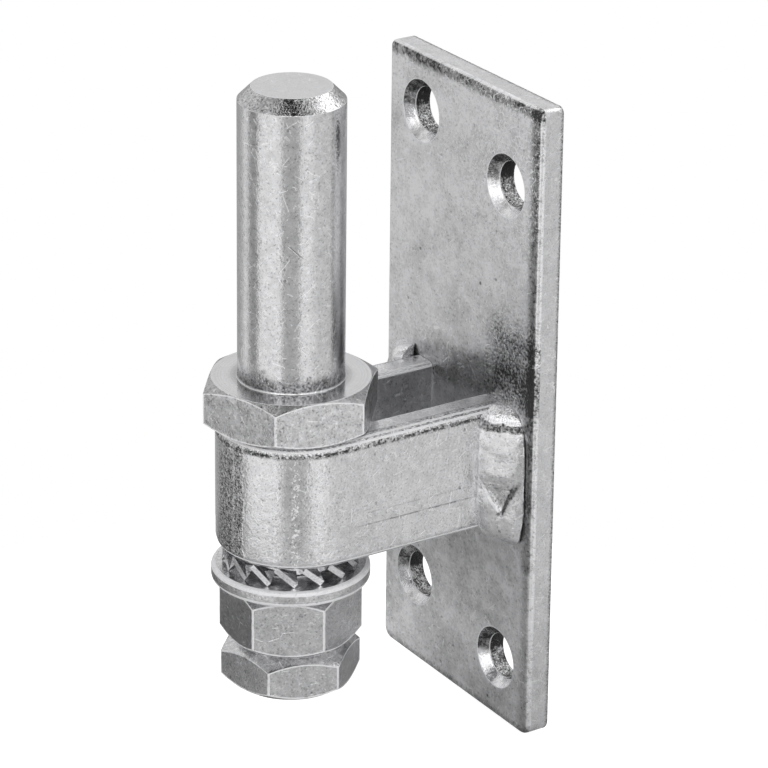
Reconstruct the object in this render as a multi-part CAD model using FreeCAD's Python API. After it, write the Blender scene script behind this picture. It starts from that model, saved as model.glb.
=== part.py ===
import FreeCAD, Part

import math
import os

from FreeCAD import Vector

# Adjustable screw-on hinge hook: a wall plate with a welded U-shaped strap, and a
# hinge pin that is clamped in the strap's slot by a toothed washer, a plain washer,
# a hex nut and a lock nut.
#
# Frame, in millimetres: the origin is the middle of the plate's back face, +Z is up
# along the hinge pin, and the pin stands in front of the plate, towards -Y.

# Mounting plate
plate_width = 40.0
plate_height = 100.0
plate_thickness = 4.0
plate_bottom_slant = 1.2
plate_top_corner = 1.0
plate_bottom_corner = 2.0
plate_rolled_edge = 0.9

# Four countersunk screw holes, staggered: each column is the other one turned round
hole_diameter = 7.0
countersink_diameter = 9.8
countersink_angle = 90.0
hole_column_offset = 11.3
hole_near_edge = 9.0
hole_far_edge = 14.0

# Strap: flat bar on edge, bent round into a U, its two ends against the plate
strap_height = 20.0
strap_thickness = 5.0
strap_outer_edge = 1.5
strap_outer_flats = 3
strap_inner_edge = 0.5
strap_middle_height = -8.4
slot_side_clearance = 1.0
slot_end_clearance = 0.2

# Hinge pin, turned in one piece with its hexagon collar and its threaded shank
pin_reach = 30.0
pin_diameter = 16.0
pin_length = 45.0
pin_end_chamfer = 2.0
pin_foot = 0.4
collar_across_flats = 24.0
collar_height = 7.0
collar_turn = 18.5
collar_face_inset = 0.1
collar_chamfer_angle = 30.0
shank_diameter = 12.0
shank_past_nut = 1.5
shank_end_chamfer = 1.0

# Toothed lock washer with twisted outer teeth
lock_washer_outer = 20.5
lock_washer_thickness = 0.9
lock_washer_root = 16.0
tooth_count = 16
tooth_twist = 40.0
tooth_root_twist = 5.0
tooth_root_width = 2.6
tooth_tip_width = 3.8
tooth_turn = 9.4

# Plain washer
plain_washer_outer = 24.0
plain_washer_thickness = 2.5
plain_washer_edge = 0.4
washer_bore_clearance = 0.5

# Hex nut and lock nut
nut_across_flats = 18.7
nut_height = 10.0
nut_turn = -4.0
lock_nut_height = 7.0
lock_nut_turn = 10.0
nut_face_inset = 1.1
nut_chamfer_angle = 33.0
nut_bore_clearance = 0.05
nut_bore_chamfer = 0.8

# Weld beads in the outer corners between the strap's legs and the plate
weld_on_strap = 4.7
weld_on_plate = 6.6
weld_rise_right = 0.4
weld_rise_left = 1.5
weld_drop = 0.9
weld_end_slant = 0.3
weld_end_power = 5.0
weld_end_angle = 80.0
weld_section_count = 9
weld_skin_count = 8
weld_toe = 0.25
weld_toe_slope = 0.4
weld_toe_on_plate = 0.3
weld_crown_out = 0.53
weld_crown_forward = 0.58
crater_top = 0.50
crater_bottom = 0.84
crater_width = 0.62
crater_top_depth = 0.3
crater_depth = 1.1

# Heights and places that follow from the driving dimensions
plate_face = -plate_thickness
pin_y = plate_face - pin_reach
shank_radius = shank_diameter / 2
slot_radius = shank_radius + slot_side_clearance
strap_radius = slot_radius + strap_thickness
bend_y = pin_y + slot_radius - shank_radius - slot_end_clearance
strap_top = strap_middle_height + strap_height / 2
strap_bottom = strap_top - strap_height
collar_top = strap_top + collar_height
pin_top = collar_top + pin_length
tooth_rise = (tooth_tip_width * math.sin(math.radians(tooth_twist))
              + lock_washer_thickness * math.cos(math.radians(tooth_twist)))
lock_washer_middle = strap_bottom - tooth_rise / 2
plain_washer_top = strap_bottom - tooth_rise
nut_top = plain_washer_top - plain_washer_thickness
lock_nut_top = nut_top - nut_height
lock_nut_bottom = lock_nut_top - lock_nut_height
shank_end = lock_nut_bottom - shank_past_nut
washer_bore_radius = shank_radius + washer_bore_clearance
nut_bore_radius = shank_radius + nut_bore_clearance

UP = Vector(0, 0, 1)
FRONT = Vector(0, -1, 0)
SAME_PLACE = 1e-3


def closed_wire(points):
    """A wire of straight runs through points, back to the first."""
    return Part.makePolygon(points + points[:1])


def turned(profile, y=0.0):
    """A solid of revolution about the vertical axis at y, from (radius, height) points."""
    face = Part.Face(closed_wire([Vector(r, y, z) for r, z in profile]))
    return face.revolve(Vector(0, y, 0), UP, 360)


def hexagon(across_flats, low, high, turn):
    """An upright hexagonal prism on the pin's axis."""
    reach = across_flats / 2 / math.cos(math.radians(30))
    corners = []
    for index in range(6):
        angle = math.radians(turn + 60 * index)
        corners.append(Vector(reach * math.cos(angle), pin_y + reach * math.sin(angle), low))
    return Part.Face(closed_wire(corners)).extrude(UP * (high - low))


def chamfered_hexagon(across_flats, low, high, turn, face_inset, angle):
    """A hexagon whose corners are turned off at both ends, as on a nut."""
    face_radius = across_flats / 2 - face_inset
    reach = across_flats / 2 / math.cos(math.radians(30))
    drop = (reach - face_radius) * math.tan(math.radians(angle))
    envelope = turned([(0, low), (face_radius, low), (reach, low + drop),
                       (reach, high - drop), (face_radius, high), (0, high)], pin_y)
    return hexagon(across_flats, low, high, turn).common(envelope)


def near(a, b):
    """Whether two lengths are the same, for finding edges by their place."""
    return abs(a - b) < SAME_PLACE


def screw_hole_places():
    """The middles of the four screw holes as (x, z)."""
    high = plate_height / 2 - hole_near_edge
    low = plate_height / 2 - hole_far_edge
    left = -hole_column_offset
    right = hole_column_offset
    return [(left, high), (right, low), (left, -low), (right, -high)]


def mounting_plate():
    """A flat plate with rolled front edges and countersunk holes.

    Its bottom end is sheared a little out of square, lower on the right."""
    side = plate_width / 2
    top = plate_height / 2
    left_foot = -plate_height / 2
    right_foot = left_foot - plate_bottom_slant
    corners = [Vector(-side, 0, left_foot), Vector(side, 0, right_foot),
               Vector(side, 0, top), Vector(-side, 0, top)]
    plate = Part.Face(closed_wire(corners)).extrude(FRONT * plate_thickness)

    def corner_edges(above):
        across = [e for e in plate.Edges if not near(e.Vertexes[0].Y, e.Vertexes[1].Y)]
        return [e for e in across if (e.Vertexes[0].Z > 0) == above]

    plate = plate.makeFillet(plate_top_corner, corner_edges(True))
    bottom_edges = [e for e in corner_edges(False) if near(e.Length, plate_thickness)]
    plate = plate.makeFillet(plate_bottom_corner, bottom_edges)
    front_edges = [e for e in plate.Edges
                   if all(near(v.Y, plate_face) for v in e.Vertexes)]
    plate = plate.makeFillet(plate_rolled_edge, front_edges)

    half_angle = math.radians(countersink_angle / 2)
    sink_depth = (countersink_diameter - hole_diameter) / 2 / math.tan(half_angle)
    for x, z in screw_hole_places():
        bore = Part.makeCylinder(hole_diameter / 2, plate_thickness, Vector(x, 0, z), FRONT)
        sink = Part.makeCone(hole_diameter / 2, countersink_diameter / 2, sink_depth,
                             Vector(x, plate_face + sink_depth, z), FRONT)
        plate = plate.cut(bore).cut(sink)
    return plate


def rolled_edge(radius, height, start):
    """The flats round an outer edge of the bar, about its centre, as (radius, height)."""
    points = []
    for index in range(strap_outer_flats + 1):
        angle = math.radians(start + 90 * index / strap_outer_flats)
        points.append((radius + strap_outer_edge * math.cos(angle),
                       height + strap_outer_edge * math.sin(angle)))
    return points


def slotted_strap():
    """Flat bar bent round on edge into a U, with the rounded edges of rolled bar."""
    rounding = strap_radius - strap_outer_edge
    inside = slot_radius + strap_inner_edge
    section = [(inside, strap_bottom),
               *rolled_edge(rounding, strap_bottom + strap_outer_edge, -90),
               *rolled_edge(rounding, strap_top - strap_outer_edge, 0),
               (inside, strap_top),
               (slot_radius, strap_top - strap_inner_edge),
               (slot_radius, strap_bottom + strap_inner_edge)]
    right = Part.Face(closed_wire([Vector(r, bend_y, z) for r, z in section]))
    left = Part.Face(closed_wire([Vector(-r, bend_y, z) for r, z in section]))
    to_plate = Vector(0, plate_face - bend_y, 0)
    bend = right.revolve(Vector(0, bend_y, 0), UP, -180)
    return bend.fuse([right.extrude(to_plate), left.extrude(to_plate)]).removeSplitter()


def hinge_pin():
    """The pin with its collar and threaded shank, turned from one hexagon bar."""
    pin_radius = pin_diameter / 2
    pin = turned([(0, strap_top), (pin_radius + pin_foot, strap_top),
                  (pin_radius + pin_foot, collar_top), (pin_radius, collar_top + pin_foot),
                  (pin_radius, pin_top - pin_end_chamfer),
                  (pin_radius - pin_end_chamfer, pin_top), (0, pin_top)], pin_y)
    collar = chamfered_hexagon(collar_across_flats, strap_top, collar_top, collar_turn,
                               collar_face_inset, collar_chamfer_angle)
    shank = turned([(0, shank_end), (shank_radius - shank_end_chamfer, shank_end),
                    (shank_radius, shank_end + shank_end_chamfer),
                    (shank_radius, strap_top), (0, strap_top)], pin_y)
    return pin.fuse([collar, shank]).removeSplitter()


def flat_sided_loft(outlines):
    """A solid through outlines of as many corners each, each side four flat triangles."""
    faces = [Part.Face(closed_wire(outlines[0])), Part.Face(closed_wire(outlines[-1]))]
    for start, end in zip(outlines, outlines[1:]):
        for index in range(len(start)):
            after = (index + 1) % len(start)
            side = [start[index], start[after], end[after], end[index]]
            centre = (side[0] + side[1] + side[2] + side[3]) / len(side)
            for a, b in zip(side, side[1:] + side[:1]):
                faces.append(Part.Face(closed_wire([a, b, centre])))
    solid = Part.Solid(Part.Shell(faces))
    if solid.Volume < 0:
        solid.reverse()
    return solid


def tooth_section(radius, width, thickness, twist):
    """The corners of a tooth where it crosses the given radius, turned by twist."""
    slope = math.radians(twist)
    along = Vector(0, math.cos(slope), -math.sin(slope)) * (width / 2)
    across = Vector(0, math.sin(slope), math.cos(slope)) * (thickness / 2)
    middle = Vector(radius, 0, 0)
    return [middle - along - across, middle + along - across,
            middle + along + across, middle - along + across]


def lock_washer():
    """A flat ring with outer teeth, each twisted so that its tip stands on edge."""
    half = lock_washer_thickness / 2
    root_radius = lock_washer_root / 2
    ring = turned([(washer_bore_radius, -half), (root_radius, -half),
                   (root_radius, half), (washer_bore_radius, half)])
    inside = (washer_bore_radius + root_radius) / 2
    tooth = flat_sided_loft([
        tooth_section(inside, tooth_root_width, half, 0),
        tooth_section(root_radius + half / 2, tooth_root_width, lock_washer_thickness,
                      tooth_root_twist),
        tooth_section(lock_washer_outer / 2, tooth_tip_width, lock_washer_thickness,
                      tooth_twist)])
    teeth = []
    for index in range(tooth_count):
        copy = tooth.copy()
        copy.rotate(Vector(0, 0, 0), UP, tooth_turn + 360 * index / tooth_count)
        teeth.append(copy)
    washer = ring.fuse(teeth).removeSplitter()
    washer.translate(Vector(0, pin_y, lock_washer_middle))
    return washer


def plain_washer():
    """A flat round washer with broken rims."""
    rim = plain_washer_outer / 2
    edge = plain_washer_edge
    return turned([(washer_bore_radius, nut_top), (rim - edge, nut_top), (rim, nut_top + edge),
                   (rim, plain_washer_top - edge), (rim - edge, plain_washer_top),
                   (washer_bore_radius, plain_washer_top)], pin_y)


def nut(low, high, turn):
    """A hex nut, chamfered outside and at its bore on both faces."""
    body = chamfered_hexagon(nut_across_flats, low, high, turn,
                             nut_face_inset, nut_chamfer_angle)
    wide = nut_bore_radius + nut_bore_chamfer
    bore = turned([(0, low), (wide, low), (nut_bore_radius, low + nut_bore_chamfer),
                   (nut_bore_radius, high - nut_bore_chamfer), (wide, high), (0, high)], pin_y)
    return body.cut(bore)


def bead_section(level, size, slant):
    """The bead's outline at one height, level at the strap and sloping down along the plate.

    Size 1 is the full bead, and less is a rounded end."""
    root_x = strap_radius - strap_outer_edge
    on_strap = weld_on_strap * size
    on_plate = weld_on_plate * size
    step = weld_toe * min(on_strap, on_plate)

    def point(x, y):
        return Vector(x, y, level - slant * (x - strap_radius))

    skin = [point(strap_radius, plate_face - on_strap),
            point(strap_radius + step, plate_face - on_strap + weld_toe_slope * step),
            point(strap_radius + weld_crown_out * on_plate,
                  plate_face - weld_crown_forward * on_strap),
            point(strap_radius + on_plate - weld_toe_on_plate * step, plate_face - step),
            point(strap_radius + on_plate, plate_face)]
    curve = Part.BSplineCurve()
    curve.interpolate(skin)
    return (curve.discretize(weld_skin_count)
            + [point(root_x, plate_face), point(root_x, plate_face - on_strap)])


def crater():
    """The V-shaped end crater of a bead: a wedge whose floor sinks towards its point."""
    outward = Vector(weld_on_strap, -weld_on_plate, 0).normalize()
    sideways = Vector(weld_on_plate, weld_on_strap, 0).normalize()
    middle = Vector(strap_radius + weld_crown_out * weld_on_plate,
                    plate_face - weld_crown_forward * weld_on_strap, 0)
    face_width = math.hypot(weld_on_strap, weld_on_plate)
    top = strap_top - crater_top * strap_height
    bottom = strap_top - crater_bottom * strap_height
    half = sideways * (crater_width * face_width / 2)
    rim = middle - outward * crater_top_depth + UP * top
    floor = [rim - half, rim + half, middle - outward * crater_depth + UP * bottom]
    lid = [p + outward * (weld_on_strap + crater_depth) for p in floor]
    return flat_sided_loft([floor, lid])


def weld_bead(rise, strap, plate):
    """A bead on the right: it domes above the strap by rise and ends in a lobe below it."""
    top = strap_top + rise
    bottom = strap_bottom - weld_drop
    sections = []
    for index in range(weld_section_count):
        along = 2 * index / (weld_section_count - 1) - 1
        share = math.sin(math.radians(weld_end_angle * along))
        level = (top + bottom) / 2 + share * (top - bottom) / 2
        size = (1 - abs(share) ** weld_end_power) ** (1 / weld_end_power)
        slant = weld_end_slant * (1 - share) / 2
        sections.append(bead_section(level, size, slant))
    return flat_sided_loft(sections).cut(strap).cut(plate).cut(crater())


def main():
    os.makedirs("parts", exist_ok=True)
    plate = mounting_plate()
    strap = slotted_strap()
    left_bead = weld_bead(weld_rise_left, strap, plate).mirror(Vector(0, 0, 0), Vector(1, 0, 0))
    parts = {
        "mounting_plate": plate,
        "slotted_strap": strap,
        "weld_bead_right": weld_bead(weld_rise_right, strap, plate),
        "weld_bead_left": left_bead,
        "hinge_pin": hinge_pin(),
        "toothed_lock_washer": lock_washer(),
        "plain_washer": plain_washer(),
        "hex_nut": nut(lock_nut_top, nut_top, nut_turn),
        "lock_nut": nut(lock_nut_bottom, lock_nut_top, lock_nut_turn),
    }
    for name, shape in parts.items():
        solids = shape.Solids
        print(name, "solids", len(solids), "valid", shape.isValid(),
              "volume", round(shape.Volume, 1), "faces", len(shape.Faces))
        shape.exportStep("parts/" + name + ".step")


main()
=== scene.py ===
"""Finishes and stage of an adjustable screw-on hinge hook, laid out as an add-on."""

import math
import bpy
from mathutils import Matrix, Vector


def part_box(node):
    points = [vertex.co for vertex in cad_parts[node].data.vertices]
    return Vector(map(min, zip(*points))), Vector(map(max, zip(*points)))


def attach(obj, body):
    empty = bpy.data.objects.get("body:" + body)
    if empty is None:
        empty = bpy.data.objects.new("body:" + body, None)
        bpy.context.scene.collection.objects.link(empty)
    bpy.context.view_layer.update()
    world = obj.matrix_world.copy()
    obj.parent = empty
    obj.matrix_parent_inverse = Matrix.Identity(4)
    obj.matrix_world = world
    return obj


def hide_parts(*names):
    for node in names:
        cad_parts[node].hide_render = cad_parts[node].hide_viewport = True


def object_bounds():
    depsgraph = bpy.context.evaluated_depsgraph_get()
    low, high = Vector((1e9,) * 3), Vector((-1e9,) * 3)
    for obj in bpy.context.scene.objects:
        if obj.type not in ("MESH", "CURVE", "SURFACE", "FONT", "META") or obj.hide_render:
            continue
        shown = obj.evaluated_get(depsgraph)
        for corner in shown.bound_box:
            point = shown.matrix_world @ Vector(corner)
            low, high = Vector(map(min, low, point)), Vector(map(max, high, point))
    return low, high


bl_info = {
    "name": "Adjustable hinge hook",
    "version": (1, 0, 0),
    "blender": (4, 5, 0),
    "location": "View3D > Sidebar > Hinge Hook",
    "description": "Dresses the hinge hook's pieces in zinc plating and sets its stage",
    "category": "Object",
}

import bpy
from mathutils import Matrix, Vector

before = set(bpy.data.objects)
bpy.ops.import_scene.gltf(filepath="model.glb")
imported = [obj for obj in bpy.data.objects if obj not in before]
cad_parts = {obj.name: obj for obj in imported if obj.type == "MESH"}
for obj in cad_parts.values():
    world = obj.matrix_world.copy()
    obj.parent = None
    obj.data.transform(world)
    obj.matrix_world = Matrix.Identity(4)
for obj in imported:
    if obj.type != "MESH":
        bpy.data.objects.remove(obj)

MM = 0.001
CAD_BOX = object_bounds()
PIN_LOW, PIN_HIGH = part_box("hinge_pin")
STRAP_LOW, STRAP_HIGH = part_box("slotted_strap")
PLATE_LOW, PLATE_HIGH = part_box("mounting_plate")
WASHER_LOW, WASHER_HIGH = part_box("plain_washer")
PIN_AXIS = (WASHER_LOW + WASHER_HIGH) / 2

# Points nearer than MERGE_DISTANCE become one. Faces that meet at less than FLAT_ANGLE
# become one, and at less than SMOOTH_ANGLE they are shaded as one. Edges sharper than
# SHARP_ANGLE are rounded.
MERGE_DISTANCE = 0.001 * MM
FLAT_ANGLE = math.radians(0.4)
SMOOTH_ANGLE = math.radians(28)
SHARP_ANGLE = math.radians(24)
EDGE_SEGMENTS = 2

# Sizes of the solids, in millimetres. Each hole is given by its x and z. SINK_RADIUS is
# just past a countersink, ROLLED_DEPTH is how far the plate's rolled edge goes back, and
# BAR_DEPTH parts the outside of the strap's 5 mm bar from its inside.
HOLES = ((-11.3, 41), (11.3, 36), (-11.3, -36), (11.3, -41))
SINK_RADIUS = 4.95
ROLLED_DEPTH = 0.95
BAR_DEPTH = 4.5
PIN_RADIUS = 8.0
COLLAR_FLATS = 24.0
COLLAR_LOW = STRAP_HIGH.z / MM
COLLAR_HIGH = COLLAR_LOW + 7.0
NUT_FLATS = 18.7
BEAD_ON_STRAP, BEAD_ON_PLATE = 4.7, 6.3
# How far a bead goes into the strap and into the plate, and how its outside leans at its
# foot.
BEAD_SUNK, BEAD_OVERLAP, BEAD_LEAN = 1.5, 0.05, 0.28

# The crater's apex on the right bead, and how x changes with z along its two arms.
CRATER_X, CRATER_Z = 15.6, -14.7
DARK_SLOPE, BRIGHT_SLOPE = 0.353, -0.577

# Limits of the plating's colour and roughness.
DARKEST, PALEST = 0.06, 0.97
SMOOTHEST, ROUGHEST = 0.06, 0.9

# The studio's light: (degrees round the part, grey level), from the front towards the
# right, near the horizon, high up, and the floor's grey, with a painted shadow at the
# front left. SOFT_BOXES are (azimuth, elevation, outer radius, inner radius, grey level),
# with angles in degrees.
LOW_BANDS = ((-180, 0.24), (-152, 0.34), (-118, 0.60), (-85, 0.58), (-66, 0.68),
             (-57, 0.81), (-47, 0.74), (-40, 0.54), (-20, 0.54), (-14, 0.83), (33, 0.85),
             (42, 0.63), (72, 0.63), (81, 0.84), (101, 0.82), (112, 0.74), (148, 0.72),
             (162, 0.40), (174, 0.20), (180, 0.24))
HIGH_BANDS = ((-180, 0.66), (-145, 0.76), (-60, 0.78), (-35, 0.60), (-5, 0.75),
              (25, 1.0), (95, 1.0), (120, 0.75), (180, 0.66))
FLOOR_SHADOW_BANDS = ((-180, 0.58), (-118, 0.90), (-98, 0.50), (-84, 0.18), (-40, 0.20),
               (-20, 0.50), (10, 0.66), (110, 0.75), (150, 0.58), (180, 0.58))
SOFT_BOXES = ((-123, 64, 26, 18, 0.98), (56, 72, 24, 18, 0.12))
HORIZON_LOW, HORIZON_HIGH = -0.1, 0.2
DISPLAY_GAMMA = 2.2
REFLECTED = 0.78
FLOOR_GREY, FLOOR_GLOW = 0.60, 0.85
SENSOR_WIDTH = 36.0


class HookFinish(bpy.types.PropertyGroup):
    """Sizes and colours of the zinc finish."""

    zinc_grey: bpy.props.FloatVectorProperty(
        name="Zinc grey", description="Tint of the bright zinc plating",
        subtype="COLOR", size=3, min=0, max=1, default=(0.985, 0.985, 1.0))
    edge_round: bpy.props.FloatProperty(
        name="Edge rounding", description="Radius of the worn edges",
        unit="LENGTH", min=0, default=0.2 * MM)
    grain: bpy.props.FloatProperty(
        name="Grain", description="Depth of the plating's fine grain",
        unit="LENGTH", min=0, default=0.05 * MM)
    thread_pitch: bpy.props.FloatProperty(
        name="Thread pitch", description="Rise of the shank's thread in one turn",
        unit="LENGTH", min=0.1 * MM, default=1.75 * MM)
    shank_diameter: bpy.props.FloatProperty(
        name="Shank diameter", description="Outer diameter of the thread",
        unit="LENGTH", min=MM, default=12 * MM)


class HookStage(bpy.types.PropertyGroup):
    """The floor, lamps and camera."""

    lens: bpy.props.FloatProperty(
        name="Lens", description="Focal length in millimetres, on a 36 mm sensor",
        min=1, default=207.117)
    azimuth: bpy.props.FloatProperty(
        name="Camera azimuth", description="Angle round the pin, from the front",
        subtype="ANGLE", default=math.radians(56.629))
    elevation: bpy.props.FloatProperty(
        name="Camera elevation", description="Angle above the horizon",
        subtype="ANGLE", default=math.radians(22.619))
    roll: bpy.props.FloatProperty(
        name="Camera roll", description="Turn about the line of sight",
        subtype="ANGLE", default=math.radians(0.641))
    distance: bpy.props.FloatProperty(
        name="Camera distance", description="From the camera to its target",
        unit="LENGTH", default=658.8 * MM)
    target: bpy.props.FloatVectorProperty(
        name="Camera target", description="The point in the middle of the view",
        subtype="XYZ", size=3, default=(3.719 * MM, -20.0 * MM, 5.283 * MM))
    floor_drop: bpy.props.FloatProperty(
        name="Floor drop", description="From the part's lowest point down to the floor",
        unit="LENGTH", default=1 * MM)
    floor_radius: bpy.props.FloatProperty(
        name="Floor radius", description="Radius of the round floor",
        unit="LENGTH", default=85 * MM)
    key_power: bpy.props.FloatProperty(
        name="Key lamp", description="Power of the lamp behind the plate",
        unit="POWER", min=0, default=0.5)


def node(tree, kind, inputs=(), **settings):
    """Adds a shader node. inputs maps sockets to values, or to sockets to link from."""
    made = tree.nodes.new(kind)
    for name, value in settings.items():
        setattr(made, name, value)
    for name, value in dict(inputs).items():
        if isinstance(value, bpy.types.NodeSocket):
            tree.links.new(value, made.inputs[name])
        else:
            made.inputs[name].default_value = value
    return made


def calc(tree, operation, a, b=0.0):
    """A Math node's value."""
    return node(tree, "ShaderNodeMath", {0: a, 1: b}, operation=operation).outputs[0]


def total(tree, *values):
    """The sum of several values."""
    result = values[0]
    for value in values[1:]:
        result = calc(tree, "ADD", result, value)
    return result


def times(tree, *values):
    """The product of several values."""
    result = values[0]
    for value in values[1:]:
        result = calc(tree, "MULTIPLY", result, value)
    return result


def off(tree, value, middle):
    """How far value is from middle, either way."""
    return calc(tree, "ABSOLUTE", calc(tree, "SUBTRACT", value, middle))


def between(tree, value, low, high):
    """A value kept between low and high."""
    return calc(tree, "MINIMUM", calc(tree, "MAXIMUM", value, low), high)


def step(tree, value, low, high):
    """0 where value is at low, 1 where it is at high, and a soft slope between them."""
    return node(tree, "ShaderNodeMapRange",
                {"Value": value, "From Min": low, "From Max": high},
                interpolation_type="SMOOTHSTEP").outputs["Result"]


def noise(tree, where, scale, detail=2.0, roughness=0.55):
    """Noise about 0.5 whose grains are about 1 / scale millimetres across."""
    return node(tree, "ShaderNodeTexNoise",
                {"Vector": where, "Scale": scale, "Detail": detail, "Roughness": roughness}
                ).outputs["Fac"]


def about_zero(tree, value, amount):
    """A value about 0.5 turned into one about 0, times amount."""
    return times(tree, calc(tree, "SUBTRACT", value, 0.5), amount)


def millimetres(tree):
    """Object coordinates in millimetres, as a vector and as x, y and z."""
    place = node(tree, "ShaderNodeTexCoord").outputs["Object"]
    scaled = node(tree, "ShaderNodeMapping", {"Vector": place, "Scale": (1000, 1000, 1000)})
    where = scaled.outputs["Vector"]
    split = node(tree, "ShaderNodeSeparateXYZ", {0: where})
    return where, split.outputs["X"], split.outputs["Y"], split.outputs["Z"]


def scratches(tree, where, scale, width, share):
    """Thin lines between random cells, scale cells to the millimetre, broken into pieces."""
    cells = node(tree, "ShaderNodeTexVoronoi", {"Vector": where, "Scale": scale},
                 feature="DISTANCE_TO_EDGE")
    line = step(tree, cells.outputs["Distance"], width * scale, width * scale * 0.4)
    kept = noise(tree, where, scale * 1.6, 1.0)
    return times(tree, line, step(tree, kept, 1 - share, 1.04 - share))


def pits(tree, where, scale, size):
    """Small round dots, one in some of the cells of a random net."""
    cells = node(tree, "ShaderNodeTexVoronoi", {"Vector": where, "Scale": scale})
    near = step(tree, cells.outputs["Distance"], size, size * 0.4)
    chosen = node(tree, "ShaderNodeSeparateColor", {0: cells.outputs["Color"]})
    return times(tree, near, step(tree, chosen.outputs[0], 0.5, 0.55))


def zinc(name, light=0.74, clouds=(0.25, 0.25), mottle=(0.9, 0.30), speckle=(3.5, 0.35),
         scratch=0.20, dirt=0.25, pit=0.30, rough=0.22, rough_spread=0.15,
         waves=0.4, grain=1.0, metal=1.0, areas=(), marks=None, frost=None):
    """Bright zinc plating, from patterns in millimetres.

    clouds, mottle and speckle are (grains to the millimetre, strength). areas are (mask
    function, change of light, change of roughness, strength of its own speckle). marks
    gives a change of light and one of height. frost is the mask of whitish rubbed lines,
    which along worn hexagon edges are also a painted highlight."""
    finish = bpy.context.scene.hook_finish
    material = bpy.data.materials.new(name)
    material.use_nodes = True
    tree = material.node_tree
    tree.nodes.clear()
    where, x, y, z = millimetres(tree)

    cloud = noise(tree, where, clouds[0], 3.0, 0.6)
    patch = noise(tree, where, mottle[0], 3.0, 0.6)
    fleck = noise(tree, where, speckle[0], 2.0, 0.65)
    lines = calc(tree, "MAXIMUM",
                 scratches(tree, where, scale=0.28, width=0.09, share=0.43),
                 scratches(tree, where, scale=0.50, width=0.07, share=0.40))
    smudge = step(tree, fleck, 0.42, 0.30)
    glint = step(tree, noise(tree, where, speckle[0] * 0.8, 1.0), 0.60, 0.72)
    dots = pits(tree, where, scale=0.31, size=0.11)

    value = total(tree, light, about_zero(tree, cloud, clouds[1]),
                  about_zero(tree, patch, mottle[1]), about_zero(tree, fleck, speckle[1]),
                  times(tree, smudge, -dirt), times(tree, lines, scratch),
                  times(tree, glint, speckle[1] * 0.4), times(tree, dots, -pit))
    roughness = total(tree, rough, about_zero(tree, cloud, rough_spread),
                      about_zero(tree, patch, rough_spread))
    height = total(tree, times(tree, cloud, waves * 4), times(tree, patch, waves), fleck,
                   times(tree, lines, -0.4), times(tree, dots, -1.0))
    for mask, change, rougher, speckled in areas:
        share = mask(tree, where, x, y, z)
        value = total(tree, value, times(tree, share, change),
                      times(tree, share, about_zero(tree, fleck, speckled)))
        roughness = total(tree, roughness, times(tree, share, rougher))
        height = total(tree, height, times(tree, share, fleck, speckled * 2))
    if marks:
        mark, cut = marks(tree, where, x, y, z)
        value = total(tree, value, mark)
        height = total(tree, height, cut)
    if frost:
        share = frost(tree, where, x, y, z)
        value = total(tree, value, times(tree, share, 0.6))
        roughness = total(tree, roughness, times(tree, share, 0.35))
        metal = total(tree, metal, times(tree, share, -0.85))
    value = between(tree, value, DARKEST, PALEST)
    roughness = between(tree, roughness, SMOOTHEST, ROUGHEST)

    colour = node(tree, "ShaderNodeMix",
                  {0: value, 6: (0, 0, 0, 1), 7: (*finish.zinc_grey, 1)},
                  data_type="RGBA")
    bump = node(tree, "ShaderNodeBump",
                {"Strength": 1.0, "Distance": finish.grain * grain, "Height": height})
    shader = node(tree, "ShaderNodeBsdfPrincipled",
                  {"Base Color": colour.outputs[2], "Roughness": roughness, "Metallic": metal,
                   "Normal": bump.outputs["Normal"]})
    node(tree, "ShaderNodeOutputMaterial", {"Surface": shader.outputs["BSDF"]})
    return material


def only(piece):
    """Selects piece alone and makes it active."""
    bpy.ops.object.select_all(action="DESELECT")
    piece.select_set(True)
    bpy.context.view_layer.objects.active = piece


def copied(name, piece_name):
    """A copy of a CAD node as one joined skin of flat faces, for finishing."""
    piece = bpy.data.objects.new(piece_name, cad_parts[name].data.copy())
    bpy.context.scene.collection.objects.link(piece)
    piece.data.materials.clear()
    only(piece)
    bpy.ops.object.mode_set(mode="EDIT")
    bpy.ops.mesh.select_all(action="SELECT")
    bpy.ops.mesh.customdata_custom_splitnormals_clear()
    bpy.ops.mesh.remove_doubles(threshold=MERGE_DISTANCE)
    bpy.ops.mesh.dissolve_limited(angle_limit=FLAT_ANGLE)
    bpy.ops.object.mode_set(mode="OBJECT")
    return piece


def closed_up(piece, gap_sides=0):
    """Joins piece's doubled points, fills gaps of up to gap_sides edges, faces it outwards."""
    only(piece)
    bpy.ops.object.mode_set(mode="EDIT")
    bpy.ops.mesh.select_all(action="SELECT")
    bpy.ops.mesh.remove_doubles(threshold=MERGE_DISTANCE)
    if gap_sides:
        bpy.ops.mesh.select_all(action="DESELECT")
        bpy.ops.mesh.select_non_manifold()
        bpy.ops.mesh.fill_holes(sides=gap_sides)
        bpy.ops.mesh.select_all(action="SELECT")
    bpy.ops.mesh.normals_make_consistent(inside=False)
    bpy.ops.object.mode_set(mode="OBJECT")


def applied(piece, kind, **settings):
    """Adds a modifier to piece and applies it."""
    only(piece)
    modifier = piece.modifiers.new(kind.lower(), kind)
    for name, value in settings.items():
        setattr(modifier, name, value)
    bpy.ops.object.modifier_apply(modifier=modifier.name)


def painted(piece, materials, choose=None):
    """Gives each face its finish. The first slot is kept for worn edges and their painted
    highlight.
    """
    piece.data.materials.append(rubbed_and_highlit_edge())
    for material in materials:
        piece.data.materials.append(material)
    for face in piece.data.polygons:
        face.material_index = 1 + (choose(face.center / MM, face.normal) if choose else 0)


def rubbed_and_highlit_edge():
    """The brighter finish of edges that are rubbed, also a painted highlight along them."""
    ready = bpy.data.materials.get("zinc_rubbed_and_highlit_edge")
    return ready or zinc("zinc_rubbed_and_highlit_edge", light=0.97, clouds=(0.4, 0.3), mottle=(1.0, 0.3),
                         speckle=(3.0, 0.25), scratch=0.0, dirt=0.14, rough=0.5, waves=0.2,
                         metal=0.2)


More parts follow.
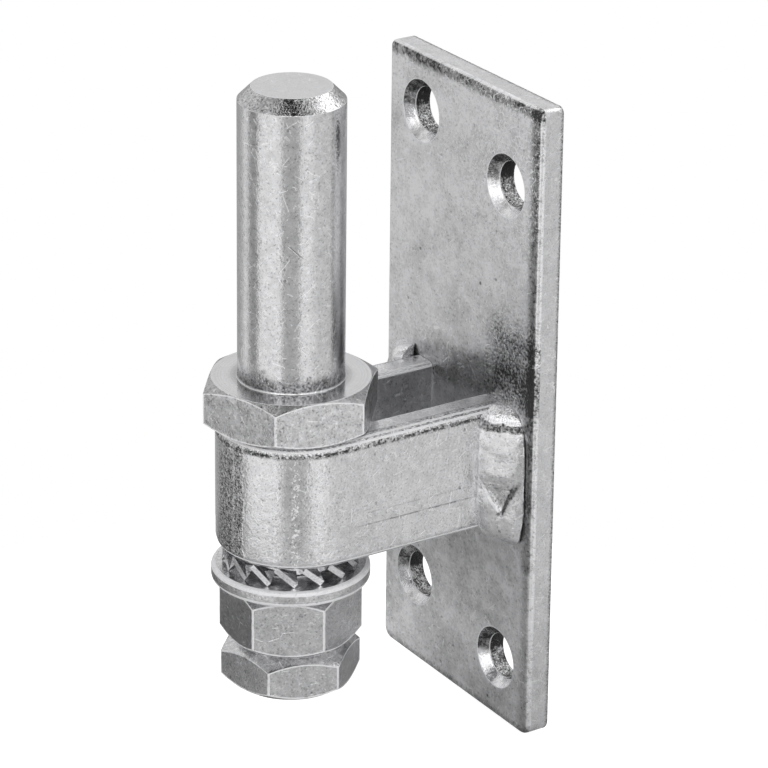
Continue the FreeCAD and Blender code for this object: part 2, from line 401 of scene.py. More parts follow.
def worn(piece, radius):
    """Rounds the sharp edges of piece a little, as wear and plating do."""
    applied(piece, "BEVEL", width=radius, segments=EDGE_SEGMENTS, limit_method="ANGLE",
            angle_limit=SHARP_ANGLE, miter_outer="MITER_ARC", use_clamp_overlap=True,
            material=0)


def placed(piece, node_name, body):
    """Smooths piece, its flat faces kept flat, and lets it stand for its CAD node."""
    only(piece)
    bpy.ops.object.shade_smooth_by_angle(angle=SMOOTH_ANGLE)
    applied(piece, "WEIGHTED_NORMAL", mode="FACE_AREA", weight=50, keep_sharp=True)
    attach(piece, body)
    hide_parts(node_name)


def from_axis(tree, x, y, axis_y):
    """The distance from the upright axis at axis_y, in millimetres."""
    across = calc(tree, "POWER", calc(tree, "SUBTRACT", y, axis_y), 2.0)
    return calc(tree, "POWER", total(tree, times(tree, x, x), across), 0.5)


def hexagon_wear_and_highlights(low, high, across_flats, inset, angle):
    """A mask of the upright corners and chamfer arcs of a hexagon, in millimetres: worn lines
    that are also a painted highlight.

    Its chamfers start inset inside the flats and fall by angle, in degrees."""
    corner = across_flats / 2 / math.cos(math.radians(30))
    slope = math.tan(math.radians(angle))

    def mask(tree, where, x, y, z):
        radius = from_axis(tree, x, y, PIN_AXIS.y / MM)
        drop = times(tree, total(tree, radius, inset - across_flats / 2), slope)
        ends = []
        for end, way in ((high, 1.0), (low, -1.0)):
            arc = total(tree, times(tree, z, way), -end * way, drop)
            ends.append(step(tree, calc(tree, "ABSOLUTE", arc), 0.27, 0.12))
        upright = step(tree, radius, corner - 0.15, corner - 0.07)
        worn_away = step(tree, noise(tree, where, 1.4, 2.0), 0.36, 0.56)
        return times(tree, calc(tree, "MAXIMUM", upright, calc(tree, "MAXIMUM", *ends)),
                     total(tree, 0.35, times(tree, worn_away, 0.65)))

    return mask


class HOOK_OT_plate(bpy.types.Operator):
    """Finishes the mounting plate with its rolled edges and countersinks"""

    bl_idname = "hook.plate"
    bl_label = "Mounting plate"

    def execute(self, context):
        plate = copied("mounting_plate", "rolled_plate")
        front = PLATE_LOW.y / MM
        side = PLATE_HIGH.x / MM
        top = PLATE_HIGH.z / MM

        def heat(tree, where, x, y, z):
            """The blot that the welding heat left above the right bead."""
            blot = about_zero(tree, noise(tree, where, 0.25, 3.0, 0.6), 9.0)
            across = calc(tree, "ABSOLUTE", total(tree, x, -14.5, blot))
            up = calc(tree, "ABSOLUTE", total(tree, z, -8.5, blot))
            return times(tree, step(tree, across, 8.5, 3.5), step(tree, up, 9.5, 3.5))

        def shade(tree, where, x, y, z):
            """The dark reflection of the strap, just above it."""
            slope = total(tree, z, times(tree, x, -0.12))
            return times(tree, step(tree, slope, 8.0, 5.0), step(tree, slope, -1.0, 1.0),
                         step(tree, x, -14.0, -2.0))

        def shade_on_top_roll(tree, where, x, y, z):
            """Painted shade on the rolled edge along the top."""
            level = total(tree, z, about_zero(tree, noise(tree, where, 0.8, 2.0), 1.2))
            return times(tree, step(tree, level, top - 2.3, top - 1.0),
                         step(tree, z, top - 0.15, top - 0.35), step(tree, y, -3.0, -3.3))

        def shade_on_side_roll(tree, where, x, y, z):
            """Painted shade on the rolled edge along the right side, weaker towards the foot."""
            place = total(tree, x, about_zero(tree, noise(tree, where, 0.6, 2.0), 0.8))
            return times(tree, step(tree, place, side - 3.1, side - 1.1),
                         step(tree, x, side - 0.25, side - 0.5),
                         total(tree, 0.45, times(tree, step(tree, z, -35.0, -10.0), 0.55)))

        def highlight_by_side_roll(tree, where, x, y, z):
            """A painted highlight in a line outside it."""
            return step(tree, x, side - 0.45, side - 0.2)

        def shade_on_foot_roll(tree, where, x, y, z):
            """Painted shade on the rolled edge along the foot, which is out of square."""
            slope = total(tree, z, times(tree, x, 0.03))
            return step(tree, slope, 1.1 - top, 0.2 - top)

        def back_rim(tree, where, x, y, z):
            """Grime along the back edge of the sides."""
            return step(tree, y, -0.8, -0.1)

        def shade_in_bore(tree, where, x, y, z):
            """Painted shade in the straight part of a hole, behind its countersink."""
            return step(tree, y, -2.7, -2.4)

        def sink_shade(tree, where, x, y, z):
            """The dark upper half of each countersink."""
            shares = []
            for hole_x, hole_z in HOLES:
                above = total(tree, z, -hole_z, times(tree, x, -0.1), hole_x * 0.1)
                near = [step(tree, off(tree, z, hole_z), 5.2, 5.0),
                        step(tree, off(tree, x, hole_x), 5.2, 5.0)]
                shares.append(times(tree, step(tree, above, -0.4, 0.6), *near))
            return total(tree, *shares)

        def rubbed_marks(tree, where, x, y, z):
            """Short bright rub marks, thickest at the upper right."""
            place = total(tree, z, about_zero(tree, noise(tree, where, 0.15, 3.0), 22.0))
            here = times(tree, step(tree, place, 20.0, 34.0), step(tree, x, -10.0, 6.0))
            strokes = calc(tree, "MAXIMUM",
                           scratches(tree, where, scale=0.9, width=0.07, share=0.50),
                           scratches(tree, where, scale=1.6, width=0.05, share=0.46))
            return times(tree, strokes, total(tree, 0.05, here), 0.75)

        face = zinc("zinc_plate_face", light=0.79, clouds=(0.11, 0.8), mottle=(0.6, 0.55),
                    speckle=(2.2, 0.40), dirt=0.16, scratch=0.28, pit=0.4, rough=0.36,
                    waves=0.25, grain=0.8, frost=rubbed_marks,
                    areas=[(heat, -0.30, 0.0, 1.8), (shade, -0.34, 0.0, 0.2),
                           (shade_on_top_roll, -0.56, 0.05, 0.9), (shade_on_side_roll, -0.56, 0.0, 0.3),
                           (highlight_by_side_roll, 0.10, -0.08, 0.7), (shade_on_foot_roll, -0.30, 0.0, 0.4)])
        sink = zinc("zinc_countersink", light=0.92, clouds=(0.4, 0.6), mottle=(0.6, 1.3),
                    speckle=(3.0, 0.3), dirt=0.1, rough=0.14, rough_spread=0.08, waves=0.8,
                    areas=[(sink_shade, -0.66, 0.0, 0.9), (shade_in_bore, -0.62, 0.1, 1.8)])
        rim = zinc("zinc_plate_side", light=0.76, clouds=(0.3, 0.35), dirt=0.15, rough=0.30,
                   grain=0.8, areas=[(back_rim, -0.40, 0.0, 1.4)])
        back = zinc("zinc_plate_back", light=0.72, clouds=(0.15, 0.3), mottle=(0.6, 0.25),
                    speckle=(2.2, 0.2), dirt=0.1, rough=0.34, grain=0.5)

        def choose(centre, normal):
            for hole_x, hole_z in HOLES:
                if math.hypot(centre.x - hole_x, centre.z - hole_z) < SINK_RADIUS:
                    return 1
            if normal.y > 0.9:
                return 3
            return 2 if centre.y > front + ROLLED_DEPTH else 0

        painted(plate, [face, sink, rim, back], choose)
        worn(plate, context.scene.hook_finish.edge_round)
        placed(plate, "mounting_plate", "bracket")
        return {"FINISHED"}


class HOOK_OT_strap(bpy.types.Operator):
    """Finishes the slotted strap with its rolling lines and worn top edge"""

    bl_idname = "hook.strap"
    bl_label = "Slotted strap"

    def execute(self, context):
        strap = copied("slotted_strap", "bent_strap")
        bend_y = (STRAP_LOW.y + STRAP_HIGH.x) / MM
        outside = STRAP_HIGH.x / MM

        def from_middle(tree, x, y):
            """The distance from the U's middle line, round the bend and along the legs."""
            return from_axis(tree, x, calc(tree, "MINIMUM", y, bend_y), bend_y)

        def top_edge(tree, where, x, y, z):
            """The rough rolled edge along the top."""
            return times(tree, step(tree, z, -0.5, 0.1),
                         step(tree, from_middle(tree, x, y), outside - 1.8, outside - 1.4))

        def dotted_line(tree, where, x, y, z):
            """The dotted dark line in that edge."""
            line = times(tree, step(tree, z, -0.35, 0.0), step(tree, z, 0.5, 0.2))
            return times(tree, line, step(tree, noise(tree, where, 1.3, 1.0), 0.40, 0.50),
                         step(tree, from_middle(tree, x, y), outside - 1.0, outside - 0.6))

        def round_bend(tree, where, x, y, scale, detail, wobble):
            """Degrees round the bend, from its front to the right, with a wobble."""
            turned = times(tree, calc(tree, "ARCTAN2", x, calc(tree, "SUBTRACT", bend_y, y)),
                           180 / math.pi)
            return total(tree, turned,
                         about_zero(tree, noise(tree, where, scale, detail), wobble))

        def speckled_bend_shade(tree, where, x, y, z):
            """Two stripes of painted shade, speckled, down the front of the bend."""
            turned = round_bend(tree, where, x, y, 0.6, 2.0, 9.0)
            left = times(tree, step(tree, turned, -20.0, -9.0), step(tree, turned, 9.0, 5.5))
            right = times(tree, step(tree, turned, 7.0, 10.5), step(tree, turned, 18.5, 16.5))
            return times(tree, calc(tree, "MAXIMUM", left, right), step(tree, z, 0.6, -0.4))

        def rolling_lines(tree, where, x, y, z):
            """A strong and a faint scored line along the right leg."""
            on_leg = times(tree, step(tree, x, 11.0, 11.5), step(tree, y, -32.0, -27.0))
            broken = step(tree, noise(tree, where, 0.45, 2.0), 0.38, 0.62)
            strong = step(tree, off(tree, z, -12.6), 0.18, 0.04)
            faint = step(tree, off(tree, z, -10.7), 0.14, 0.04)
            lines = total(tree, times(tree, strong, broken), times(tree, faint, broken, 0.4))
            return times(tree, lines, on_leg, -0.35), times(tree, lines, on_leg, -1.0)

        def flecks(tree, where, x, y, z):
            """Chains of small bright flecks that run down the bend."""
            turned = round_bend(tree, where, x, y, 0.5, 1.0, 4.0)
            chains = [step(tree, off(tree, turned, middle), half, half * 0.5)
                      for middle, half in ((44.0, 2.2), (58.0, 3.5), (76.0, 4.0))]
            spots = step(tree, noise(tree, where, 1.9, 2.0, 0.7), 0.54, 0.61)
            return times(tree, total(tree, *chains), spots, step(tree, z, 0.0, -1.5),
                         step(tree, x, -8.0, -6.0), 0.8)

        outer = zinc("zinc_strap", light=0.80, clouds=(0.25, 0.18), mottle=(0.7, 0.42),
                     speckle=(3.0, 0.40), scratch=0.26, rough=0.14, rough_spread=0.12, waves=0.8,
                     grain=0.7,
                     areas=[(top_edge, -0.14, 0.12, 1.8), (dotted_line, -0.5, 0.1, 0.5),
                            (speckled_bend_shade, -0.34, 0.05, 1.9)],
                     marks=rolling_lines, frost=flecks)
        inner = zinc("zinc_strap_inside", light=0.78, clouds=(0.3, 0.3), mottle=(0.8, 0.3),
                     rough=0.30)

        def choose(centre, normal):
            y = min(centre.y - bend_y, 0.0)
            return int(math.hypot(centre.x, y) < outside - BAR_DEPTH
                       and abs(normal.z) < 0.5)

        painted(strap, [outer, inner], choose)
        worn(strap, context.scene.hook_finish.edge_round)
        placed(strap, "slotted_strap", "bracket")
        return {"FINISHED"}


class HOOK_OT_welds(bpy.types.Operator):
    """Makes the weld beads, domed and lobed, the right one with a V-shaped crater"""

    bl_idname = "hook.welds"
    bl_label = "Weld beads"

    rows: bpy.props.IntProperty(name="Rows", description="Steps up a bead", min=8, default=96)
    columns: bpy.props.IntProperty(
        name="Columns", description="Steps across a bead's face", min=8, default=44)

    def face_point(self, across, up, cratered):
        """How far a point of the bead's face is out from the strap and off the plate.

        across goes from 0 on the strap to 1 on the plate, up from -1 to 1."""
        crown = math.sin(math.pi * across) ** 0.55
        low = max(0.0, -up - 0.15) / 0.85
        lobe = math.exp(-((across - 0.78) / 0.2) ** 2 - ((up + 0.78) / 0.3) ** 2)
        depth = 0.0
        apex, top = -0.50, 0.08
        if cratered and apex < up < top:
            rise = (up - apex) / (top - apex)
            left = 0.50 - 0.34 * rise
            right = 0.50 + 0.36 * rise
            inside = min((across - left) / 0.08, (right - across) / 0.04, 1.0)
            depth = max(inside, 0.0) * 0.85 * (1 - rise) ** 0.9
        groove = 0.30 * math.exp(-((up - 0.80) / 0.045) ** 2)
        swell = 0.62 * crown + 0.35 * lobe + 0.25 * low - depth - groove
        out_x = BEAD_ON_STRAP / math.hypot(BEAD_ON_STRAP, BEAD_ON_PLATE)
        out_y = BEAD_ON_PLATE / math.hypot(BEAD_ON_STRAP, BEAD_ON_PLATE)
        return (BEAD_ON_PLATE * across + swell * out_x,
                BEAD_ON_STRAP * (1 - across) + swell * out_y)

    def bead(self, name, low, high, side, square):
        """A closed bead between two heights, on the right (side 1) or the left (side -1).

        The greater square is, the less its ends are rounded."""
        strap_x, plate_y = STRAP_HIGH.x / MM, PLATE_LOW.y / MM
        points, faces = [], []
        ring = self.columns + 3
        for row in range(self.rows + 1):
            share = math.sin(math.pi * (row / self.rows - 0.5) * 0.98)
            size = max(1 - abs(share) ** square, 0.0) ** (1 / 2.6)
            level = (low + high) / 2 + share * (high - low) / 2
            slant = BEAD_LEAN * (1 - share) / 2
            skin = []
            for column in range(self.columns + 1):
                across = column / self.columns
                x, y = self.face_point(across, share, side > 0)
                skin.append((x * size, y * size))
            skin += [(-BEAD_SUNK * size, 0.0),
                     (-BEAD_SUNK * size, BEAD_ON_STRAP * size * 0.9)]
            for x, y in skin:
                points.append(Vector((side * (strap_x + x), plate_y - y + BEAD_OVERLAP,
                                      level - slant * max(x, 0.0))) * MM)
        for row in range(self.rows):
            for column in range(ring):
                a = row * ring + column
                b = row * ring + (column + 1) % ring
                faces.append((a, b, b + ring, a + ring))
        faces.append(tuple(range(ring)))
        faces.append(tuple(self.rows * ring + column for column in range(ring)))
        mesh = bpy.data.meshes.new(name)
        mesh.from_pydata(points, [], faces)
        bead = bpy.data.objects.new(name, mesh)
        bpy.context.scene.collection.objects.link(bead)
        closed_up(bead)
        return bead

    def execute(self, context):
        def ring(tree, where, x, y, z):
            """Painted shade, speckled, in the groove under the bright top."""
            wobble = total(tree, z, about_zero(tree, noise(tree, where, 0.7, 2.0), 1.4))
            return times(tree, step(tree, wobble, -1.7, -1.2), step(tree, wobble, -0.2, -0.6))

        def dome(tree, where, x, y, z):
            """A painted highlight on the top."""
            return step(tree, z, -0.5, 0.1)

        def arm(tree, x, z, slope, width):
            """One arm of the crater's V, from its apex up."""
            line = total(tree, x, -CRATER_X, times(tree, z, -slope), CRATER_Z * slope)
            return times(tree, step(tree, calc(tree, "ABSOLUTE", line), width, width * 0.4),
                         step(tree, z, -15.2, -14.6), step(tree, z, -8.6, -10.5))

        def dark_arm(tree, where, x, y, z):
            """The crater's right arm, in shade."""
            return arm(tree, x, z, DARK_SLOPE, 0.60)

        def bright_arm(tree, where, x, y, z):
            """The crater's left arm, which catches the light."""
            return arm(tree, x, z, BRIGHT_SLOPE, 0.30)

        def highlight_at_toe(tree, where, x, y, z):
            """A painted highlight in a line where a bead meets the strap."""
            out = total(tree, calc(tree, "ABSOLUTE", x), -STRAP_HIGH.x / MM)
            return times(tree, step(tree, out, 0.9, 0.4), step(tree, z, -0.6, -1.6))

        def crater(tree, where, x, y, z):
            """The crater between its two arms, fading upwards."""
            side = total(tree, x, -CRATER_X)
            rise = total(tree, z, -CRATER_Z)
            left = total(tree, side, times(tree, rise, -BRIGHT_SLOPE))
            right = total(tree, side, times(tree, rise, -DARK_SLOPE))
            return times(tree, step(tree, left, 0.0, 0.5), step(tree, right, 0.0, -0.5),
                         step(tree, z, -7.0, -11.5))

        skin = zinc("zinc_weld", light=0.76, clouds=(0.4, 0.2), mottle=(0.9, 0.34),
                    speckle=(2.6, 0.24), scratch=0.12, rough=0.20, waves=0.6, grain=0.8,
                    areas=[(ring, -0.55, 0.1, 1.5), (dome, 0.26, 0.05, 0.9),
                           (crater, -0.16, 0.05, 0.8), (dark_arm, -0.62, 0.1, 0.4),
                           (bright_arm, 0.35, 0.15, 0.2), (highlight_at_toe, 0.20, 0.1, 0.3)])
        lumps = bpy.data.textures.new("lumps", "CLOUDS")
        lumps.noise_scale = 3.0 * MM
        above_foot, above_top = 0.3, 0.05
        for name, side, square in (("right", 1, 4.2), ("left", -1, 8.0)):
            low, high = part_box("weld_bead_" + name)
            bead = self.bead("weld_" + name, low.z / MM + above_foot,
                             high.z / MM + above_top, side, square)
            applied(bead, "SMOOTH", factor=0.5, iterations=3)
            applied(bead, "DISPLACE", texture=lumps, strength=0.35 * MM, mid_level=0.5)
            painted(bead, [skin])
            placed(bead, "weld_bead_" + name, "bracket")
        return {"FINISHED"}


class HOOK_OT_pin(bpy.types.Operator):
    """Makes the turned hinge pin with its collar and threaded shank"""

    bl_idname = "hook.pin"
    bl_label = "Hinge pin"

    steps: bpy.props.IntProperty(
        name="Steps", description="Steps in one turn of the thread", min=8, default=40)

    def fitted(self, pin, root):
        """Brings the pin's foot to its radius and the shank to the thread's root."""
        axis_y = PIN_AXIS.y / MM
        for vertex in pin.data.vertices:
            place = vertex.co / MM
            radius = math.hypot(place.x, place.y - axis_y)
            if COLLAR_HIGH - 0.01 < place.z < COLLAR_HIGH + 0.5 and radius < 9:
                wanted = PIN_RADIUS + 0.12 * (place.z < COLLAR_HIGH + 0.1)
            elif place.z < COLLAR_LOW - 0.01 and radius > root:
                wanted = root
            else:
                continue
            share = wanted / radius
            vertex.co = Vector((place.x * share, axis_y + (place.y - axis_y) * share,
                                place.z)) * MM

    def thread(self, finish, low, high):
        """A closed spiral ridge on the pin's axis, run out into the shank's end chamfer."""
        bpy.ops.object.select_all(action="DESELECT")
        bpy.ops.mesh.primitive_circle_add(vertices=3, radius=MM)
        ridge = bpy.context.object
        crest = finish.shank_diameter / 2
        root = crest - 0.61 * finish.thread_pitch
        half = 0.44 * finish.thread_pitch
        corners = ((crest, 0), (root, half), (root, -half))
        for vertex, (radius, height) in zip(ridge.data.vertices, corners):
            vertex.co = (radius, 0, height)
        turns = int((high - low) / finish.thread_pitch)
        applied(ridge, "SCREW", axis="Z", angle=math.tau, screw_offset=finish.thread_pitch,
                iterations=turns, steps=self.steps, render_steps=self.steps,
                use_smooth_shade=False)
        closed_up(ridge, gap_sides=3)
        for vertex in ridge.data.vertices:
            place = vertex.co + Vector((0, 0, low + half))
            limit = max(root, root + place.z - low - 0.2 * MM)
            radius = math.hypot(place.x, place.y)
            share = min(radius, limit) / radius
            vertex.co = Vector((place.x * share, PIN_AXIS.y + place.y * share, place.z))
        return ridge

    def execute(self, context):
        finish = context.scene.hook_finish
        pin = copied("hinge_pin", "turned_pin")
        self.fitted(pin, (finish.shank_diameter / 2 - 0.55 * finish.thread_pitch) / MM)
        end = PIN_HIGH.z / MM

        def foot(tree, where, x, y, z):
            """The dark mottled foot of the pin, above the collar."""
            level = total(tree, z, about_zero(tree, noise(tree, where, 0.4, 3.0), -5.0))
            return times(tree, step(tree, level, COLLAR_HIGH + 3.2, COLLAR_HIGH + 1.0),
                         step(tree, z, COLLAR_HIGH + 0.1, COLLAR_HIGH + 0.4))

        def chamfer_shade(tree, where, x, y, z):
            """Painted shade on the chamfer at the pin's top."""
            return step(tree, z, end - 2.1, end - 1.9)

        def scored(tree, where, x, y, z):
            """A short slanting cut low on the pin's side."""
            line = total(tree, z, times(tree, y, 1.1), 10.6)
            cut = step(tree, calc(tree, "ABSOLUTE", line), 0.22, 0.08)
            here = times(tree, cut, step(tree, z, 29.8, 30.2), step(tree, z, 32.0, 31.6),
                         step(tree, x, 5.0, 5.4))
            return times(tree, here, -0.35), times(tree, here, -1.5)

        def rings(tree, where, x, y, z):
            """Fine turning rings round the pin, and painted shade close to it."""
            radius = from_axis(tree, x, y, PIN_AXIS.y / MM)
            line = node(tree, "ShaderNodeCombineXYZ", {0: radius, 1: 0.0, 2: 0.0}).outputs[0]
            turning = noise(tree, line, 2.6, 2.0)
            shade_by_pin = times(tree, step(tree, radius, 9.6, 8.4), -0.25)
            return (total(tree, about_zero(tree, turning, 0.25), shade_by_pin),
                    about_zero(tree, turning, 1.5))

        turned = zinc("zinc_turned_pin", light=0.77, clouds=(0.3, 0.20), mottle=(0.9, 0.42),
                      speckle=(2.8, 0.32), scratch=0.20, rough=0.13, waves=0.3, grain=0.6,
                      areas=[(foot, -0.48, 0.0, 0.8), (chamfer_shade, -0.14, 0.0, 0.9)],
                      marks=scored)
        flats = zinc("zinc_collar_flats", light=0.66, clouds=(0.25, 0.40), mottle=(0.8, 0.55),
                     speckle=(2.8, 0.5), rough=0.28, grain=1.2,
                     frost=hexagon_wear_and_highlights(COLLAR_LOW, COLLAR_HIGH, COLLAR_FLATS, 0.1, 30.0))
        slope = zinc("zinc_collar_chamfer", light=0.50, clouds=(0.3, 0.3), mottle=(1.0, 0.4),
                     speckle=(3.0, 0.4), rough=0.30)
        top = zinc("zinc_collar_top", light=0.80, clouds=(0.3, 0.08), mottle=(1.0, 0.08),
                   speckle=(3.5, 0.10), dirt=0.08, scratch=0.05, rough=0.07,
                   rough_spread=0.03, waves=0.1, grain=0.2, marks=rings)
        tip = zinc("zinc_pin_end", light=0.80, clouds=(0.3, 0.10), mottle=(0.9, 0.12),
                   speckle=(3.0, 0.10), dirt=0.06, scratch=0.10, rough=0.20, waves=0.1,
                   grain=0.4)

        def choose(centre, normal):
            if centre.z > end - 0.1:
                return 4
            if centre.z > COLLAR_HIGH + 0.1 or centre.z < COLLAR_LOW - 0.1:
                return 0
            if normal.z > 0.95:
                return 2
            return 3 if abs(normal.z) > 0.2 else 1

        painted(pin, [turned, flats, top, slope, tip], choose)
        worn(pin, finish.edge_round * 1.75)
        ridge = self.thread(finish, PIN_LOW.z + 0.4 * MM, STRAP_HIGH.z - 0.5 * MM)
        ridge.data.materials.append(rubbed_and_highlit_edge())
        ridge.data.materials.append(turned)
        for face in ridge.data.polygons:
            face.material_index = 1
        only(pin)
        ridge.select_set(True)
        bpy.ops.object.join()
        placed(pin, "hinge_pin", "pin")
        return {"FINISHED"}


class HOOK_OT_lock_washer(bpy.types.Operator):
    """Finishes the toothed lock washer"""

    bl_idname = "hook.lock_washer"
    bl_label = "Toothed lock washer"

    def execute(self, context):
        washer = copied("toothed_lock_washer", "spring_lock_washer")
        steel = zinc("zinc_spring_steel", light=0.90, mottle=(1.2, 0.25), scratch=0.0,
                     rough=0.2)
        painted(washer, [steel])
        worn(washer, context.scene.hook_finish.edge_round / 2)
        placed(washer, "toothed_lock_washer", "lock_washer")
        return {"FINISHED"}


class HOOK_OT_fasteners(bpy.types.Operator):
    """Finishes the plain washer, the hex nut and the lock nut"""

    bl_idname = "hook.fasteners"
    bl_label = "Washer and nuts"

    def execute(self, context):
        for name, piece_name, body in (("plain_washer", "flat_washer", "clamp"),
                                       ("hex_nut", "main_nut", "nut"),
                                       ("lock_nut", "thin_nut", "locking_nut")):
            low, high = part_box(name)
            edges = hexagon_wear_and_highlights(low.z / MM, high.z / MM, NUT_FLATS, 1.1, 33.0)
            finishes = [
                zinc("zinc_" + piece_name + part, light=0.72, clouds=(0.4, 0.3),
                     mottle=(1.2, 0.45), speckle=(3.0, 0.45), scratch=0.12, rough=0.22,
                     waves=0.3, frost=frost)
                for part, frost in (("_ends", None), ("_flats", edges))]
            piece = copied(name, piece_name)
            is_nut = body != "clamp"
            painted(piece, finishes,
                    lambda centre, normal: int(is_nut and abs(normal.z) < 0.1))
            worn(piece, context.scene.hook_finish.edge_round * 2)
            placed(piece, name, body)
        return {"FINISHED"}


def lit(level):
    """The light that zinc must reflect to look as pale as level in the picture."""
    return level ** DISPLAY_GAMMA / REFLECTED


def facing(azimuth, elevation):
    """The direction to a place round the part, from the front towards the right."""
    a, e = math.radians(azimuth), math.radians(elevation)
    return Vector((math.sin(a) * math.cos(e), -math.cos(a) * math.cos(e), math.sin(e)))


class HOOK_OT_stage(bpy.types.Operator):
    """Sets the pale floor, the studio light and the camera"""

    bl_idname = "hook.stage"
    bl_label = "Stage"

    def bands(self, tree, place, stops, tone):
        """A grey that changes with the direction round the part, each stop's through tone."""
        split = node(tree, "ShaderNodeSeparateXYZ", {0: place})
        angle = calc(tree, "ARCTAN2", split.outputs["X"],
                     times(tree, split.outputs["Y"], -1.0))
        turn = total(tree, times(tree, angle, 1 / math.tau), 0.5)
        ramp = node(tree, "ShaderNodeValToRGB", {"Fac": turn})
        elements = ramp.color_ramp.elements
        while len(elements) > 1:
            elements.remove(elements[-1])
        for index, (degrees, level) in enumerate(stops):
            position = (degrees + 180) / 360
            element = elements[0] if index == 0 else elements.new(position)
            element.position = position
            light = tone(level)
            element.color = (light, light, light, 1)
        return ramp.outputs["Color"]

    def world(self):
        """Soft light with paler and darker sides, behind a white background."""
        world = bpy.data.worlds.new("studio")
        bpy.context.scene.world = world
        world.use_nodes = True
        tree = world.node_tree
        tree.nodes.clear()
        direction = node(tree, "ShaderNodeTexCoord").outputs["Generated"]
        split = node(tree, "ShaderNodeSeparateXYZ", {0: direction})
        rise = split.outputs["Z"]
        around = node(tree, "ShaderNodeMix",
                      {0: step(tree, rise, HORIZON_LOW, HORIZON_HIGH),
                       6: self.bands(tree, direction, LOW_BANDS, lit),
                       7: self.bands(tree, direction, HIGH_BANDS, lit)},
                      data_type="RGBA").outputs[2]
        for azimuth, elevation, outer, inner, level in SOFT_BOXES:
            cosine = node(tree, "ShaderNodeVectorMath",
                          {0: direction, 1: facing(azimuth, elevation)},
                          operation="DOT_PRODUCT").outputs["Value"]
            share = step(tree, cosine, math.cos(math.radians(outer)),
                         math.cos(math.radians(inner)))
            light = lit(level)
            around = node(tree, "ShaderNodeMix",
                          {0: share, 6: around, 7: (light, light, light, 1)},
                          data_type="RGBA").outputs[2]
        studio = node(tree, "ShaderNodeBackground", {"Color": around, "Strength": 1.0})
        white = node(tree, "ShaderNodeBackground", {"Color": (1, 1, 1, 1), "Strength": 1.0})
        path = node(tree, "ShaderNodeLightPath")
        seen = node(tree, "ShaderNodeMixShader",
                    {0: path.outputs["Is Camera Ray"], 1: studio.outputs[0],
                     2: white.outputs[0]})
        node(tree, "ShaderNodeOutputWorld", {"Surface": seen.outputs[0]})

    def floor(self, stage):
        """A round pale floor just under the part, nearly white from above, clear from below."""
        bpy.ops.object.select_all(action="DESELECT")
        bpy.ops.mesh.primitive_circle_add(
            vertices=96, radius=stage.floor_radius, fill_type="NGON",
            location=(PIN_AXIS.x, PIN_AXIS.y, CAD_BOX[0].z - stage.floor_drop))
        floor = bpy.context.object
        floor.name = "floor"
        material = bpy.data.materials.new("pale_floor")
        material.use_nodes = True
        tree = material.node_tree
        tree.nodes.clear()
        place = node(tree, "ShaderNodeTexCoord").outputs["Object"]
        grey = (FLOOR_GREY, FLOOR_GREY, FLOOR_GREY, 1)
        paper = node(tree, "ShaderNodeBsdfDiffuse", {"Color": grey})
        # Reflections see the floor coloured by direction round the part, with a painted shadow
        # of the part towards the front left.
        painted_shadow_floor = node(tree, "ShaderNodeBsdfDiffuse",
                      {"Color": self.bands(tree, place, FLOOR_SHADOW_BANDS, float)})
        glow = node(tree, "ShaderNodeEmission",
                    {"Color": (1, 1, 1, 1), "Strength": FLOOR_GLOW})
        pale = node(tree, "ShaderNodeAddShader", {0: paper.outputs[0], 1: glow.outputs[0]})
        path = node(tree, "ShaderNodeLightPath")
        seen = node(tree, "ShaderNodeMixShader",
                    {0: path.outputs["Is Camera Ray"], 1: painted_shadow_floor.outputs[0],
                     2: pale.outputs[0]})
        side = node(tree, "ShaderNodeNewGeometry").outputs["Backfacing"]
        clear = node(tree, "ShaderNodeBsdfTransparent")
        above = node(tree, "ShaderNodeMixShader",
                     {0: side, 1: seen.outputs[0], 2: clear.outputs[0]})
        node(tree, "ShaderNodeOutputMaterial", {"Surface": above.outputs[0]})
        floor.data.materials.append(material)

    def lamp(self, name, azimuth, elevation, distance, size, power):
        """An area lamp that looks at the part from one side."""
        data = bpy.data.lights.new(name, "AREA")
        data.shape = "DISK"
        data.size = size
        data.energy = power
        lamp = bpy.data.objects.new(name, data)
        bpy.context.scene.collection.objects.link(lamp)
        back = facing(azimuth, elevation)
        centre = (CAD_BOX[0] + CAD_BOX[1]) / 2
        lamp.location = centre + back * distance
        lamp.rotation_mode = "QUATERNION"
        lamp.rotation_quaternion = back.to_track_quat("Z", "Y")

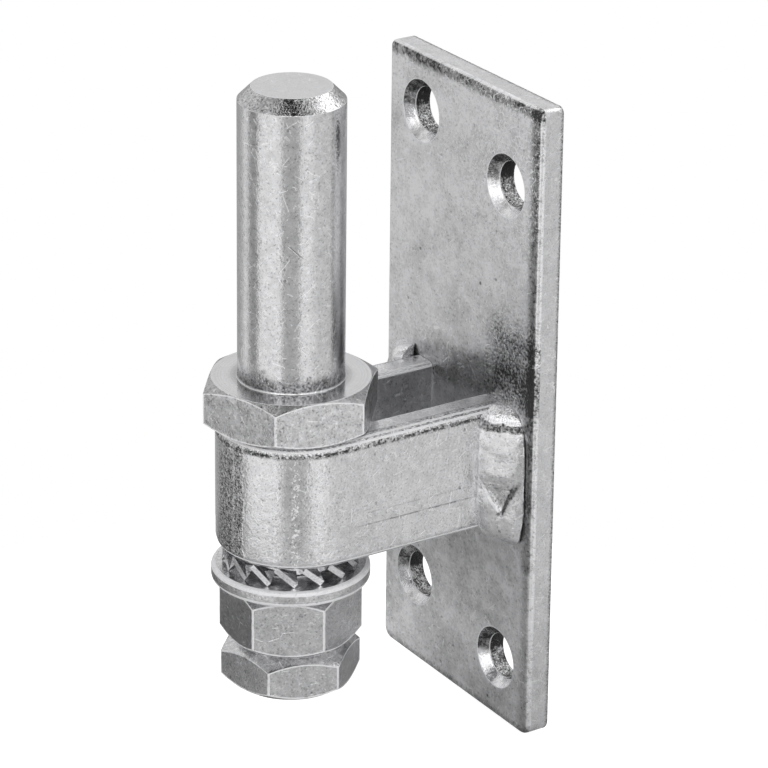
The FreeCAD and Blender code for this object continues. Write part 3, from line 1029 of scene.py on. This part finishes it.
    def camera(self, stage):
        """The camera at the photograph's angle."""
        data = bpy.data.cameras.new("camera")
        data.sensor_width = SENSOR_WIDTH
        data.lens = stage.lens
        camera = bpy.data.objects.new("camera", data)
        bpy.context.scene.collection.objects.link(camera)
        roll = stage.roll
        back = facing(math.degrees(stage.azimuth), math.degrees(stage.elevation))
        right = Vector((math.cos(stage.azimuth), math.sin(stage.azimuth), 0))
        up = back.cross(right)
        turned_right = right * math.cos(roll) + up * math.sin(roll)
        turned_up = up * math.cos(roll) - right * math.sin(roll)
        place = Vector(stage.target) + back * stage.distance
        turn = Matrix((turned_right, turned_up, back)).transposed().to_4x4()
        camera.matrix_world = Matrix.Translation(place) @ turn
        bpy.context.scene.camera = camera

    def execute(self, context):
        stage = context.scene.hook_stage
        self.world()
        self.floor(stage)
        self.lamp("key", azimuth=172, elevation=44, distance=600 * MM, size=360 * MM,
                  power=stage.key_power)
        self.camera(stage)
        context.scene.view_settings.view_transform = "Standard"
        return {"FINISHED"}


OPERATORS = (HOOK_OT_plate, HOOK_OT_strap, HOOK_OT_welds, HOOK_OT_pin, HOOK_OT_lock_washer,
             HOOK_OT_fasteners, HOOK_OT_stage)


class HOOK_PT_panel(bpy.types.Panel):
    """The hinge hook's pieces and stage in the sidebar"""

    bl_idname = "HOOK_PT_panel"
    bl_label = "Hinge hook"
    bl_space_type = "VIEW_3D"
    bl_region_type = "UI"
    bl_category = "Hinge Hook"

    def draw(self, context):
        for operator in OPERATORS:
            self.layout.operator(operator.bl_idname)


CLASSES = (HookFinish, HookStage, *OPERATORS, HOOK_PT_panel)


def register():
    """Adds the classes and their settings."""
    for cls in CLASSES:
        bpy.utils.register_class(cls)
    bpy.types.Scene.hook_finish = bpy.props.PointerProperty(type=HookFinish)
    bpy.types.Scene.hook_stage = bpy.props.PointerProperty(type=HookStage)


def unregister():
    """Takes the settings and the classes away."""
    del bpy.types.Scene.hook_stage
    del bpy.types.Scene.hook_finish
    for cls in reversed(CLASSES):
        bpy.utils.unregister_class(cls)


def main():
    register()
    bpy.ops.hook.plate()
    bpy.ops.hook.strap()
    bpy.ops.hook.welds()
    bpy.ops.hook.pin()
    bpy.ops.hook.lock_washer()
    bpy.ops.hook.fasteners()
    bpy.ops.hook.stage()


if __name__ == "__main__":
    main()
